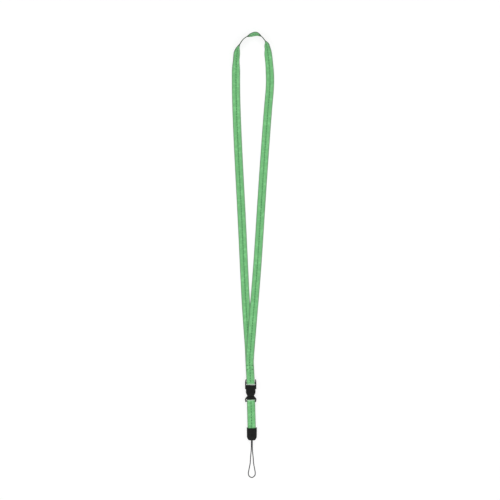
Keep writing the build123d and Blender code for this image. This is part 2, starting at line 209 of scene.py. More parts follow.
STRING_ROUTE = [
    (-0.000585, -0.2341, 0.00125),
    (-0.000585, -0.2367, 0.00078),
    (-0.00115, -0.2420, 0.000585),
    (-0.00170, -0.2482, 0.000585),
    (-0.00195, -0.2542, 0.000585),
    (-0.00290, -0.2586, 0.000585),
    (-0.00360, -0.2622, 0.000585),
    (-0.00440, -0.2662, 0.000585),
    (-0.00390, -0.2692, 0.000585),
    (-0.00140, -0.2714, 0.000585),
    (0.00130, -0.2714, 0.000585),
    (0.00380, -0.2691, 0.000585),
    (0.00430, -0.2661, 0.000585),
    (0.00360, -0.2620, 0.000585),
    (0.00290, -0.2584, 0.000585),
    (0.00205, -0.2540, 0.000585),
    (0.00175, -0.2484, 0.000585),
    (0.00110, -0.2421, 0.000585),
    (0.000585, -0.2367, 0.00078),
    (0.000585, -0.2341, 0.00125),
]
BINDING_ROUTE = [(0, -0.2226, 0.0025), (0, -0.2282, 0.0025), (0, -0.2341, 0.00125)]

string_line = smooth_line("string_route", [(CAP_X + x, y, z) for x, y, z in STRING_ROUTE])
binding_line = smooth_line("binding_route", [(CAP_X + x, y, z) for x, y, z in BINDING_ROUTE])

# %% [markdown]
# ## Node trees written as sums
# A material or a Geometry Nodes group is a graph of small nodes. Written out one by one it is hard
# to read, so one class wraps a socket and lets it take part in ordinary sums: `1 - mask` adds a
# Subtract node. Every other node comes from one method, which sets its settings first.

# %% A socket that takes part in sums
class Value:
    """A node's output. Sums and products with it add Math nodes to its tree."""

    def __init__(self, tree, socket):
        self.tree = tree
        self.socket = socket

    def math(self, operation, *others):
        return self.tree.node("ShaderNodeMath", {"operation": operation}, [self, *others])

    def __add__(self, other):
        return self.math("ADD", other)

    def __mul__(self, other):
        return self.math("MULTIPLY", other)

    def __sub__(self, other):
        return self.math("SUBTRACT", other)

    def __rsub__(self, other):
        return self.tree.node("ShaderNodeMath", {"operation": "SUBTRACT"}, [other, self])

    def __truediv__(self, other):
        return self.math("DIVIDE", other)

    __radd__ = __add__

    def rise(self, low, high):
        """0 below low, 1 above high, and a smooth step between."""
        return self.tree.node(
            "ShaderNodeMapRange",
            {"interpolation_type": "SMOOTHSTEP"},
            {"Value": self, "From Min": low, "From Max": high},
        )


# %% A tree that makes its nodes by one method
def find_socket(sockets, key):
    """A socket by its place, its identifier or its name."""
    if isinstance(key, int):
        return sockets[key]
    for socket in sockets:
        if socket.identifier == key:
            return socket
    return next(socket for socket in sockets if socket.name == key and socket.enabled)


class Tree:
    """A node tree under construction."""

    def __init__(self, node_tree):
        self.node_tree = node_tree

    def node(self, kind, settings=None, inputs=None, output=0):
        """Adds a node, sets it up, joins its inputs and returns one of its outputs."""
        made = self.node_tree.nodes.new(kind)
        for name, setting in (settings or {}).items():
            setattr(made, name, setting)
        pairs = inputs.items() if isinstance(inputs, dict) else enumerate(inputs or [])
        for key, given in pairs:
            socket = find_socket(made.inputs, key)
            if isinstance(given, Value):
                self.node_tree.links.new(given.socket, socket)
            else:
                socket.default_value = given
        return Value(self, find_socket(made.outputs, output)) if made.outputs else None

    def mix(self, share, first, second):
        """One colour turning into another."""
        return self.node(
            "ShaderNodeMix",
            {"data_type": "RGBA"},
            {"Factor_Float": share, "A_Color": first, "B_Color": second},
            "Result_Color",
        )

    def attribute(self, name):
        return self.node("ShaderNodeAttribute", {"attribute_name": name}, output="Fac")

    def place(self):
        return self.node("ShaderNodeTexCoord", output="Object")

    def noise(self, place, scale, detail=2.0):
        return self.node(
            "ShaderNodeTexNoise", {}, {"Vector": place, "Scale": scale, "Detail": detail}, "Fac"
        )

    def bump(self, height, strength, distance):
        return self.node(
            "ShaderNodeBump", {}, {"Strength": strength, "Distance": distance, "Height": height}
        )


def shade(red, green, blue):
    """A colour given on the usual 0 to 255 scale, as the linear numbers that a shader wants."""
    parts = [value / 255 for value in (red, green, blue)]
    linear = [part / 12.92 if part < 0.04045 else ((part + 0.055) / 1.055) ** 2.4 for part in parts]
    return (*linear, 1)


def new_material(name, paint):
    """A material whose surface is a Principled shader, with the inputs that paint(tree) gives."""
    material = bpy.data.materials.new(name)
    material.use_nodes = True
    material.node_tree.nodes.clear()
    tree = Tree(material.node_tree)
    surface = tree.node("ShaderNodeBsdfPrincipled", {}, paint(tree))
    tree.node("ShaderNodeOutputMaterial", {}, {"Surface": surface})
    print(f"material {name}: {len(material.node_tree.nodes)} nodes")
    return material


# %% [markdown]
# ## The webbing's finish
# Flat woven webbing has cords that run along it, each crossed by short floats of yarn, and the
# valleys between the cords get a painted shade. Its rounded woven edges, the selvedges, get a greyer
# painted shade, and seen edge on the webbing gets a darker painted shade still. The sewn middle gets
# a darker painted shade along its furrow. Where the webbing turns hard round a bar its crest gets a
# pale painted highlight, and where it stands on its edge its faces get a painted shade. The pattern
# follows the strap, so the material reads how far across and how far along each point is, which the
# mesh carries.

# %% Webbing material
WEB_WIDTH = 10.0  # these three are in millimetres
CORD_WIDTH = 0.98  # across one woven cord
FLOAT_LENGTH = 2.6  # along one float of yarn

WEB_BODY = shade(134, 210, 141)
WEB_LIGHT = shade(151, 229, 158)
# painted shade: the valleys between the cords are coloured darker than the cord tops
WEB_VALLEY_SHADE = shade(84, 158, 94)
# painted shade: a darker band down the middle, where the sewn furrow sinks
WEB_FURROW_SHADE = shade(86, 163, 98)
# painted shade: the rounded selvedges are coloured greyer where they roll away from the light
WEB_SELVEDGE_SHADE = shade(108, 158, 113)
# painted shade: the thin edge of the webbing, seen edge on, is coloured dark olive
WEB_EDGE_SHADE = shade(42, 54, 40)
# painted highlight on the crest where the webbing wraps round a bar
WEB_FOLD_HIGHLIGHT = shade(206, 240, 209)
WEB_STANDING = shade(70, 92, 66)


def woven_height(tree, across, along, cord_width, float_length):
    """0 in the valleys between cords and 1 on top of a float, in step by halves from cord to cord."""
    cords = across / cord_width
    ridge = (cords * pi).math("SINE").math("ABSOLUTE")
    half_step = cords.math("FLOOR") * 0.5
    floats = ((along / float_length + half_step) * (2 * pi)).math("SINE")
    return ridge.math("POWER", 0.6) * (0.8 + floats * 0.2)


def paint_webbing(tree):
    across = tree.attribute("across_mm")
    along = tree.attribute("along_mm")
    fold = tree.attribute("fold")
    standing = tree.attribute("standing")
    place = tree.place()
    from_middle = across.math("ABSOLUTE")
    weave = woven_height(tree, across, along, CORD_WIDTH, FLOAT_LENGTH)
    mottle = tree.noise(place, 260.0, 3.0)
    fuzz = tree.noise(place, 2600.0, 2.0)
    # painted shade in the valleys between the cords, following the weave's height
    cord = tree.mix(weave, WEB_VALLEY_SHADE, WEB_BODY)
    body = tree.mix(mottle.rise(0.45, 0.75) * 0.55, cord, WEB_LIGHT)
    # painted shade along the sewn middle's furrow
    furrow_shaded = tree.mix((1 - from_middle.rise(0.5, 1.2)) * 0.4, body, WEB_FURROW_SHADE)
    # painted shade on the rounded selvedges near both edges
    selvedge_shaded = tree.mix(from_middle.rise(3.7, 4.15) * 0.85, furrow_shaded, WEB_SELVEDGE_SHADE)
    # painted highlight laid on the crest of each wrap round a bar
    fold_highlighted = tree.mix(fold * 0.7, selvedge_shaded, WEB_FOLD_HIGHLIGHT)
    shaded = tree.mix(standing * 0.95, fold_highlighted, WEB_STANDING)
    # painted shade on the webbing's thin edge
    colour = tree.mix(from_middle.rise(4.82, 4.97), shaded, WEB_EDGE_SHADE)
    height = weave + fuzz * 0.35
    return {
        "Base Color": colour,
        "Roughness": 0.82 - weave * 0.2,
        "Normal": tree.bump(height, 0.8, 0.2 * MM),
        "Sheen Weight": 0.12,
        "Sheen Roughness": 0.4,
        "Specular IOR Level": 0.25,
    }


webbing = new_material("green_webbing", paint_webbing)

# %% [markdown]
# ## Sewing thread
# The thread is the same green, darker and tightly twisted. A fine slanted wave gives the twist.

# %% Thread material
THREAD_DARK = shade(34, 104, 44)
THREAD_LIGHT = shade(50, 128, 60)


def paint_thread(tree):
    place = tree.place()
    twist = tree.node(
        "ShaderNodeTexWave",
        {"bands_direction": "DIAGONAL"},
        {"Vector": place, "Scale": 1400.0, "Distortion": 0.6, "Detail": 1.0},
        "Fac",
    )
    return {
        "Base Color": tree.mix(twist, THREAD_DARK, THREAD_LIGHT),
        "Roughness": 0.62 - twist * 0.14,
        "Normal": tree.bump(twist, 0.5, 0.06 * MM),
        "Sheen Weight": 0.15,
    }


thread = new_material("green_thread", paint_thread)

# %% [markdown]
# ## The neck strap
# The strap is a flat band, so it is built by hand: a rounded section is set at each station of the
# route, and the rings are joined. Stations stand closer together where the line turns. On the legs
# the band lies flat. Over the top it stands on its edge and leans outwards, so the section turns
# with the strap's lean. At the buckle the band keeps facing the bar all the way round.

# %% How the strap leans
def ease(value, low, high):
    """0 below low, 1 above high, and a smooth step between."""
    share = np.clip((value - low) / (high - low), 0, 1)
    return share * share * (3 - 2 * share)


def strap_lean(x, y):
    """Degrees that the webbing stands up from flat at a place in millimetres: 90 is on its edge."""
    left = 40 * ease(y, 220, 238) + 57 * ease(y, 244, 259)
    right = 22 * ease(y, 213, 236) + 30 * ease(y, 243, 254) + 45 * ease(y, 254, 262)
    top_dip = 27 * np.maximum(0, 1 - ((x - 1.8) / 8.8) ** 2) * ease(y, 262, 267)
    return np.where(x < 0, left, right) - top_dip


def unit(vectors):
    return vectors / np.linalg.norm(vectors, axis=1, keepdims=True)


def stations(line, spacing, turn_step):
    """Points along a line, closer together where it turns."""
    steps = np.diff(line, axis=0)
    lengths = np.linalg.norm(steps, axis=1)
    headings = steps / lengths[:, None]
    turns = np.arccos(np.clip((headings[1:] * headings[:-1]).sum(1), -1, 1))
    effort = lengths / spacing
    effort[1:] += turns / turn_step
    reach = np.concatenate([[0], np.cumsum(effort)])
    wanted = np.linspace(0, reach[-1], int(reach[-1]) + 1)
    along = np.interp(wanted, reach, distances(line))
    return np.stack([np.interp(wanted, reach, line[:, axis]) for axis in range(3)], axis=1), along


def headings_of(points):
    """The direction of a line at each of its points."""
    return unit(np.gradient(points, axis=0))


# %% A band of webbing
WEB_THICK = 0.9  # a little under the CAD webbing, so the thread has room
EDGE_POINTS = 5
FACE_POINTS = 27


def band_section():
    """Points round the webbing's section, in millimetres across it and through it."""
    half, round_radius = WEB_WIDTH / 2, WEB_THICK / 2
    face = np.linspace(-half + round_radius, half - round_radius, FACE_POINTS)
    turn = np.linspace(pi / 2, -pi / 2, EDGE_POINTS + 2)[1:-1]
    edge_across = half - round_radius + round_radius * np.cos(turn)
    edge_through = round_radius * np.sin(turn)
    front = np.full(FACE_POINTS, round_radius)
    across = np.concatenate([face, edge_across, face[::-1], -edge_across])
    through = np.concatenate([front, edge_through, -front, -edge_through])
    return across, through


def band(name, centres, sideways, outward, along, fold, standing):
    """A closed strap through the stations. sideways and outward are its directions at each one."""
    across, through = band_section()
    ring = len(across)
    places = (
        centres[:, None, :]
        + sideways[:, None, :] * across[None, :, None] * MM
        + outward[:, None, :] * through[None, :, None] * MM
    ).reshape(-1, 3)
    count = len(centres)
    faces = [
        (start + (k + 1) % ring, start + k, start + ring + k, start + ring + (k + 1) % ring)
        for start in range(0, (count - 1) * ring, ring)
        for k in range(ring)
    ]
    faces.append(tuple(range(ring)))
    faces.append(tuple(reversed(range((count - 1) * ring, count * ring))))
    mesh = bpy.data.meshes.new(name)
    mesh.from_pydata(places.tolist(), [], faces)
    # fold carries the share of painted highlight, standing the share of painted shade
    for attribute, values in (
        ("across_mm", np.tile(across, count)),
        ("along_mm", np.repeat(along / MM, ring)),
        ("fold", np.repeat(fold, ring)),
        ("standing", np.repeat(standing, ring)),
    ):
        layer = mesh.attributes.new(attribute, "FLOAT", "POINT")
        layer.data.foreach_set("value", values.astype(np.float32))
    mesh.shade_smooth()
    return add_object(name, mesh)


# %% The strap's stations
BAND_STEP = 0.66 * MM  # between stations where the band runs straight
BAND_TURN = radians(9)  # and between them where it turns
HALF_CAD_THICK = 0.5  # millimetres
HIGHLIGHT_ABOVE = 0.35  # the share of a wrap's own bend at which the crest's painted highlight begins

centres, strap_along = stations(strap_line, BAND_STEP, BAND_TURN)
strap_heading = headings_of(centres)
lean = np.radians(strap_lean(centres[:, 0] / MM, centres[:, 1] / MM))
level_side = unit(np.stack([-strap_heading[:, 1], strap_heading[:, 0], 0 * lean], axis=1))
sideways = level_side * np.cos(lean)[:, None] + np.array([0, 0, 1]) * np.sin(lean)[:, None]

FOLD_REACH = 60 * MM  # from the strap's tail end to well above the sewn stack
on_the_fold = strap_along > strap_length - FOLD_REACH
sideways[on_the_fold] = np.array(fold_across)
outward = unit(np.cross(strap_heading, sideways))
lowest = (WEB_WIDTH / 2 * np.sin(lean) + HALF_CAD_THICK * np.abs(np.cos(lean))) * MM
centres[:, 2] = np.maximum(centres[:, 2], lowest)


# painted highlight: how much of the pale fold colour a station gets, from how hard it bends
def highlight_by_bend(heading, along, wrap_radius):
    """0 where the webbing runs straight, and more where its bend comes near the wrap's."""
    turning = np.linalg.norm(np.gradient(heading, axis=0), axis=1) / np.gradient(along)
    return np.clip(turning * wrap_radius - HIGHLIGHT_ABOVE, 0, 1)


strap_fold_highlight = highlight_by_bend(strap_heading, strap_along, BAR_WRAP_RADIUS) * on_the_fold
strap_standing = ease(np.degrees(lean), 78, 89)
print(f"{len(centres)} stations along the neck strap")

# %% [markdown]
# ## The weave, grown on the strap
# Ribs repeat over the whole strap, so a Geometry Nodes group makes them. It reads the same two
# distances as the material, sinks the valleys between the cords and leaves their tops where they
# were, so the strap gets no thicker. The group's sizes are named inputs. Its result is turned into
# a plain mesh.

# %% A Geometry Nodes group
class Growth(Tree):
    """A Geometry Nodes group with named sizes, closed by Realize Instances and Set Material."""

    def __init__(self, name, sizes):
        group = bpy.data.node_groups.new(name, "GeometryNodeTree")
        face = group.interface
        face.new_socket(name="Geometry", in_out="INPUT", socket_type="NodeSocketGeometry")
        for size, start in sizes.items():
            entry = face.new_socket(name=size, in_out="INPUT", socket_type="NodeSocketFloat")
            entry.default_value = start
        face.new_socket(name="Material", in_out="INPUT", socket_type="NodeSocketMaterial")
        face.new_socket(name="Geometry", in_out="OUTPUT", socket_type="NodeSocketGeometry")
        super().__init__(group)
        self.entry = group.nodes.new("NodeGroupInput")

    def given(self, name):
        return Value(self, find_socket(self.entry.outputs, name))

    def named(self, name, kind="FLOAT"):
        return self.node("GeometryNodeInputNamedAttribute", {"data_type": kind}, {"Name": name})

    def close(self, geometry):
        realized = self.node("GeometryNodeRealizeInstances", {}, {"Geometry": geometry})
        painted = self.node(
            "GeometryNodeSetMaterial", {}, {"Geometry": realized, "Material": self.given("Material")}
        )
        self.node("NodeGroupOutput", {}, {"Geometry": painted})


def plain_object(name, seed):
    """The seed's evaluated mesh as an object of its own. The seed is thrown away."""
    evaluated = seed.evaluated_get(bpy.context.evaluated_depsgraph_get())
    mesh = bpy.data.meshes.new_from_object(evaluated)
    mesh.name = name
    bpy.data.objects.remove(seed)
    print(f"{name}: {sum(len(face.vertices) - 2 for face in mesh.polygons)} triangles")
    return add_object(name, mesh)


def grow(name, seed, growth, material, **sizes):
    """Runs a group on a seed mesh and returns the result as a plain object."""
    modifier = seed.modifiers.new("growth", "NODES")
    modifier.node_group = growth.node_tree
    given = {size.replace("_", " "): value for size, value in sizes.items()}
    given["Material"] = material
    for item in growth.node_tree.interface.items_tree:
        if item.in_out == "INPUT" and item.name in given:
            modifier[item.identifier] = given[item.name]
    return plain_object(name, seed)


# %% The weave group
WEAVE_RELIEF = 0.07 * MM
weave = Growth(
    "weave", {"Cord Width": CORD_WIDTH, "Float Length": FLOAT_LENGTH, "Relief": WEAVE_RELIEF}
)
across = weave.named("across_mm")
height = woven_height(
    weave, across, weave.named("along_mm"), weave.given("Cord Width"), weave.given("Float Length")
)
sink = (height - 1) * weave.given("Relief") * (1 - across.math("ABSOLUTE").rise(4.3, 4.7))
offset = weave.node(
    "ShaderNodeVectorMath",
    {"operation": "SCALE"},
    {"Vector": weave.node("GeometryNodeInputNormal"), "Scale": sink},
    "Vector",
)
weave.close(
    weave.node("GeometryNodeSetPosition", {}, {"Geometry": weave.given("Geometry"), "Offset": offset})
)

# %% The neck strap, woven
strap_seed = band(
    "strap_seed", centres, sideways, outward, strap_along, strap_fold_highlight, strap_standing
)
neck_webbing = grow("neck_webbing", strap_seed, weave, webbing)
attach(neck_webbing, "strap")
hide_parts("neck_strap")
on_fold(0, BAR_Z)

# %% [markdown]
# ## Stitches
# A row of stitches runs down the middle of the webbing on both faces. Each stitch is a short arch
# of thread, pressed flat, whose two ends dive into the cloth. One small arch is made once and set
# on points a stitch apart, turned so that it follows the strap and stands on its face.

# %% The stitch group
STITCH_PITCH = 3.2 * MM
STITCH_LENGTH = 1.6 * MM
THREAD_WIDTH = 0.9 * MM
DIVE = 0.9  # how deep the two ends go, in thread radii
PRESSED_FLAT = 0.4  # a pressed stitch's height as a share of the round one's
THREAD_SIDES = 9

stitching = Growth(
    "stitching",
    {"Pitch": STITCH_PITCH, "Length": STITCH_LENGTH, "Thread Width": THREAD_WIDTH, "Rise": 0.0},
)


def spot(tree, x, z):
    return tree.node("ShaderNodeCombineXYZ", {}, {"X": x, "Z": z})


def rounded_tube(tree, path, radius, sides):
    """A closed round tube along a curve."""
    section = tree.node("GeometryNodeCurvePrimitiveCircle", {}, {"Resolution": sides, "Radius": radius})
    return tree.node(
        "GeometryNodeCurveToMesh", {}, {"Curve": path, "Profile Curve": section, "Fill Caps": True}
    )


def set_along(tree, pitch, shape, first_axis, second_axis):
    """The shape on points a pitch apart along the seed line, turned by the line's own directions."""
    line = tree.node("GeometryNodeMeshToCurve", {}, {"Mesh": tree.given("Geometry")})
    points = tree.node(
        "GeometryNodeResampleCurve", {"mode": "LENGTH"}, {"Curve": line, "Length": pitch}
    )
    turn = tree.node(
        "FunctionNodeAxesToRotation",
        {"primary_axis": first_axis, "secondary_axis": second_axis},
        {
            "Primary Axis": tree.named("heading", "FLOAT_VECTOR"),
            "Secondary Axis": tree.named("facing", "FLOAT_VECTOR"),
        },
    )
    return tree.node(
        "GeometryNodeInstanceOnPoints", {}, {"Points": points, "Instance": shape, "Rotation": turn}
    )


thread_radius = stitching.given("Thread Width") * 0.5
dive = thread_radius * -DIVE
arch = stitching.node(
    "GeometryNodeCurveQuadraticBezier",
    {},
    {
        "Resolution": 6,
        "Start": spot(stitching, stitching.given("Length") * -0.5, dive),
        "Middle": spot(stitching, 0.0, stitching.given("Rise") * 2 - dive),
        "End": spot(stitching, stitching.given("Length") * 0.5, dive),
    },
)
pressed = stitching.node(
    "GeometryNodeTransform",
    {},
    {
        "Geometry": rounded_tube(stitching, arch, thread_radius, THREAD_SIDES),
        "Scale": (1.0, 1.0, PRESSED_FLAT),
    },
)
stitching.close(set_along(stitching, stitching.given("Pitch"), pressed, "X", "Z"))


# %% Lines for the stitches to follow
def guide(name, lines):
    """A mesh of open lines. Each is (points, headings, facings), one row for each point."""
    mesh = bpy.data.meshes.new(name)
    places = np.concatenate([points for points, _, _ in lines])
    edges, start = [], 0
    for points, _, _ in lines:
        edges += [(start + k, start + k + 1) for k in range(len(points) - 1)]
        start += len(points)
    mesh.from_pydata(places.tolist(), edges, [])
    for attribute, column in (("heading", 1), ("facing", 2)):
        values = np.concatenate([line[column] for line in lines]).astype(np.float32)
        layer = mesh.attributes.new(attribute, "FLOAT_VECTOR", "POINT")
        layer.data.foreach_set("vector", values.ravel())
    return add_object(name, mesh)


BACK_SUNK = 0.15 * MM  # the back stitches are pulled in, so the strap still lies flat


def face_line(centres, heading, outward, along, start, end, side):
    """The middle line of a strap's front face, side 1, or its back face, side -1, for a stretch."""
    kept = (along > start) & (along < end)
    height = WEB_THICK / 2 * MM - (BACK_SUNK if side < 0 else 0)
    points = centres[kept] + outward[kept] * side * height
    return points, heading[kept], outward[kept] * side


STACK_HEIGHT = 26.1 * MM  # how far up the fold the stacked layers reach
LEG_START = 16 * MM  # along the left leg, just past its length inside the stack
WRAP_END = strap_length - 32 * MM  # where the front layer meets the bar
BACK_START = LEG_START + STITCH_PITCH / 2
BACK_END = WRAP_END - STACK_HEIGHT

strap_lines = [
    face_line(centres, strap_heading, outward, strap_along, LEG_START, WRAP_END, 1),
    face_line(centres, strap_heading, outward, strap_along, BACK_START, BACK_END, -1),
]
neck_stitches = grow("neck_stitches", guide("stitch_lines", strap_lines), stitching, thread)
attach(neck_stitches, "strap")

# %% [markdown]
# Two short rows of stitches cross the stack where the two legs and the tail are sewn together.

# %% The seam above the buckle
seam_low, seam_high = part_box("neck_seam_thread")
SEAM_ROWS = (16.4 * MM, 21.3 * MM)  # up the fold
SEAM_HALF = 3.2 * MM  # from the middle stitch of a row to the one at its end
SEAM_STITCH = 2.3 * MM
SEAM_THREAD = 0.8 * MM
STACK_TOP = FRONT_LAYER_Z + WEB_THICK / 2 * MM


def across_fold(row, height, facing):
    """A line across the strap, a distance up the fold."""
    ends = [Vector(on_fold(row, height)) + fold_across * side * SEAM_HALF for side in (-1, 0, 1)]
    count = len(ends)
    return np.array(ends), np.array([fold_across] * count), np.array([(0, 0, facing)] * count)


seam_lines = [across_fold(row, STACK_TOP, 1) for row in SEAM_ROWS]
neck_seam = grow(
    "neck_seam",
    guide("seam_lines", seam_lines),
    stitching,
    thread,
    Pitch=SEAM_HALF,
    Length=SEAM_STITCH,
    Thread_Width=SEAM_THREAD,
)
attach(neck_seam, "strap")
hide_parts("neck_seam_thread")
print("seam in its CAD box:", seam_low.y < SOCKET_BAR_Y + SEAM_ROWS[0] < seam_high.y)

# %% [markdown]
# ## The sewn tab
# The tab is the same webbing, folded double round the plug's bar. Both of its ends are held in the
# cap. It is made like the neck strap, and stitched down its middle.

# %% The tab's route
TAB_X = -2.1 * MM  # at the plug's bar
TAB_TURN = radians(1.5)
TAB_OUTER_RADIUS = 2.0 * MM  # the outside of the turn round the bar
TAB_WRAP_RADIUS = 1.5 * MM  # and the middle of the webbing there

tab_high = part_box("tab_strap")[1]
PLUG_BAR_Y = tab_high.y - TAB_OUTER_RADIUS
tab_foot = Vector((TAB_X, PLUG_BAR_Y, 0))
tab_along = Vector((sin(TAB_TURN), -cos(TAB_TURN), 0))
tab_across = Vector((cos(TAB_TURN), sin(TAB_TURN), 0))


def on_tab(distance, height):
    """A point a distance down the tab from the plug's bar, at a height above the floor."""
    return tuple(tab_foot + tab_along * distance + Vector((0, 0, height)))


TAB_ROUTE = [
    on_tab(0.0414, 0.0020),
    on_tab(0.0330, 0.0020),
    on_tab(0.0200, 0.0020),
    on_tab(0.0120, 0.0020),
    on_tab(0.0060, 0.0017),
    on_tab(0.0007, 0.0015),
    on_tab(-0.0015, 0.0015),
    on_tab(-0.0015, 0.0045),
    on_tab(0.0007, 0.0045),
    on_tab(0.0060, 0.0038),
    on_tab(0.0120, 0.0030),
    on_tab(0.0200, 0.0030),
    on_tab(0.0330, 0.0030),
    on_tab(0.0414, 0.0030),
]
tab_line = smooth_line("tab_route", TAB_ROUTE)
tab_length = distances(tab_line)[-1]
tab_centres, tab_station = stations(tab_line, BAND_STEP, BAND_TURN)
tab_heading = headings_of(tab_centres)
tab_side = np.tile(np.array(tab_across), (len(tab_centres), 1))
tab_outward = unit(np.cross(tab_heading, tab_side))
tab_fold_highlight = highlight_by_bend(tab_heading, tab_station, TAB_WRAP_RADIUS)
tab_seed = band(
    "tab_seed", tab_centres, tab_side, tab_outward, tab_station, tab_fold_highlight, np.zeros(len(tab_fold_highlight))
)
tab_webbing = grow("tab_webbing", tab_seed, weave, webbing)
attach(tab_webbing, "tab")
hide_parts("tab_strap")
print(f"tab webbing: {tab_length / MM:.1f} mm, folded in half")

# %% The tab's stitches
SEWN_FROM = 7 * MM  # distances from either end of the webbing. The cap hides both ends.
SEWN_TO = 39 * MM
tab_lines = [
    face_line(tab_centres, tab_heading, tab_outward, tab_station, start, end, 1)
    for start, end in ((tab_length - SEWN_TO, tab_length - SEWN_FROM), (SEWN_FROM, SEWN_TO))
]
tab_stitches = grow("tab_stitches", guide("tab_lines", tab_lines), stitching, thread)
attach(tab_stitches, "tab")
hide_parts("tab_thread")

# %% [markdown]
# ## Moulded plastic
# The buckle and the cap are satin black. Moulded plastic is never one flat black: its skin has a
# fine grain, its gloss drifts a little from place to place, and handling leaves faint scuffs.

# %% Plastic material
def paint_plastic(tree, dark, light):
    place = tree.place()
    grain = tree.noise(place, 9000.0, 2.0)
    drift = tree.noise(place, 320.0, 2.0)
    scuff = tree.noise(place, 1500.0, 4.0).rise(0.62, 0.8)
    colour = tree.mix(drift, dark, light)
    return {
        "Base Color": tree.mix(scuff * 0.25, colour, shade(40, 44, 41)),
        "Roughness": 0.42 + drift * 0.12 + scuff * 0.15,
        "Normal": tree.bump(grain, 0.22, 0.03 * MM),
        "Specular IOR Level": 0.25,
    }


buckle_plastic = new_material(
    "buckle_plastic", lambda tree: paint_plastic(tree, shade(7, 10, 8), shade(14, 18, 15))
)
cap_plastic = new_material(
    "cap_plastic", lambda tree: paint_plastic(tree, shade(10, 13, 11), shade(18, 21, 19))
)

# %% [markdown]
# ## The buckle and the cap
# These have real, fitted shapes, so each starts as a copy of its CAD part. The copy's loose
# triangles are merged, and a bevel rounds every sharp edge the way a mould does.

# %% Rounding a CAD part's edges
EDGE_ROUND = 0.11 * MM
SAME_POINT = 0.002 * MM  # corners closer than this are one corner
ROUNDED_ABOVE = radians(24)  # an edge that turns more than this is rounded
SHARP_ABOVE = radians(32)  # and one that still turns more than this is shaded sharp


def moulded(name, node, body, material):
    """A CAD part's own shape with rounded edges, riding where the part rides."""
    shape = bmesh.new()
    shape.from_mesh(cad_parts[node].data)
    bmesh.ops.remove_doubles(shape, verts=shape.verts, dist=SAME_POINT)
    mesh = bpy.data.meshes.new(name + "_seed")
    shape.to_mesh(mesh)
    shape.free()
    if "custom_normal" in mesh.attributes:
        mesh.attributes.remove(mesh.attributes["custom_normal"])
    mesh.materials.clear()
    mesh.materials.append(material)
    seed = add_object(name + "_seed", mesh)
    bevel = seed.modifiers.new("edges", "BEVEL")
    bevel.width = EDGE_ROUND
    bevel.segments = 2
    bevel.limit_method = "ANGLE"
    bevel.angle_limit = ROUNDED_ABOVE
    bevel.use_clamp_overlap = True
    made = plain_object(name, seed)
    made.data.shade_smooth()
    made.data.set_sharp_from_angle(angle=SHARP_ABOVE)
    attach(made, body)
    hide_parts(node)
    return made


for name, node, body, material, slot in (
    ("socket_shell", "socket", "socket", buckle_plastic, "buckle_plastic"),
    ("plug_base", "plug", "plug", buckle_plastic, "buckle_plastic"),
    ("left_spring_arm", "arm_left", "arm_left", buckle_plastic, "buckle_plastic"),
    ("right_spring_arm", "arm_right", "arm_right", buckle_plastic, "buckle_plastic"),
    ("cap_back", "cap_back_shell", "tab", cap_plastic, "cap_plastic"),
    ("cap_front", "cap_front_shell", "tab", cap_plastic, "cap_plastic"),
):
    moulded(name, node, body, material)

# %% [markdown]
# Moulded parts carry small raised lines: a pair that slants down the socket's front cover, grip
# ridges on the two press pads, and shallow arcs on the cap. A line is a half-sunk round bead along
# a curve, and the ridges are short beads set a pitch apart.

# %% Bead and ridge groups
BEAD_SIDES = 10
bead = Growth("bead", {"Bead Radius": 0.16 * MM, "Step": 0.25 * MM})
bead_curve = bead.node(
    "GeometryNodeResampleCurve",
    {"mode": "LENGTH"},
    {
        "Curve": bead.node("GeometryNodeMeshToCurve", {}, {"Mesh": bead.given("Geometry")}),
        "Length": bead.given("Step"),
    },
)
bead.close(rounded_tube(bead, bead_curve, bead.given("Bead Radius"), BEAD_SIDES))

ridges = Growth("ridges", {"Pitch": 0.85 * MM, "Length": 2.8 * MM, "Ridge Radius": 0.17 * MM})
ridge_line = ridges.node(
    "GeometryNodeCurvePrimitiveLine",
    {},
    {
        "Start": spot(ridges, 0.0, ridges.given("Length") * -0.5),
        "End": spot(ridges, 0.0, ridges.given("Length") * 0.5),
    },
)
ridges.close(
    set_along(
        ridges,
        ridges.given("Pitch"),
        rounded_tube(ridges, ridge_line, ridges.given("Ridge Radius"), BEAD_SIDES),
        "Y",
        "X",
    )
)


# %% Lines on the socket, the pads and the cap
def flat_line(points, heading=(0, -1, 0), facing=(0, 0, 1)):
    """A guide line through points, with the same directions all along it."""
    headings = np.tile(np.array(heading, float), (len(points), 1))
    facings = np.tile(np.array(facing, float), (len(points), 1))
    return np.array(points, float), headings, facings


BUCKLE_X = (socket_low.x + socket_high.x) / 2
COVER_TOP = socket_high.z
SHOULDER_Y = SOCKET_BAR_Y - 7.4 * MM  # the ledges under the socket's shoulders
slants = [
    flat_line(
        [
            (BUCKLE_X + side * 4.55 * MM, SHOULDER_Y + 2.0 * MM, COVER_TOP),
            (BUCKLE_X + side * 3.7 * MM, SHOULDER_Y - 2.6 * MM, COVER_TOP),
            (BUCKLE_X + side * 2.2 * MM, socket_low.y + 0.9 * MM, COVER_TOP),
        ]
    )
    for side in (-1, 1)
]
cover_lines = grow(
    "cover_lines", guide("slants", slants), bead, buckle_plastic, Bead_Radius=0.2 * MM
)
cover_lines.data.shade_smooth()
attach(cover_lines, "socket")

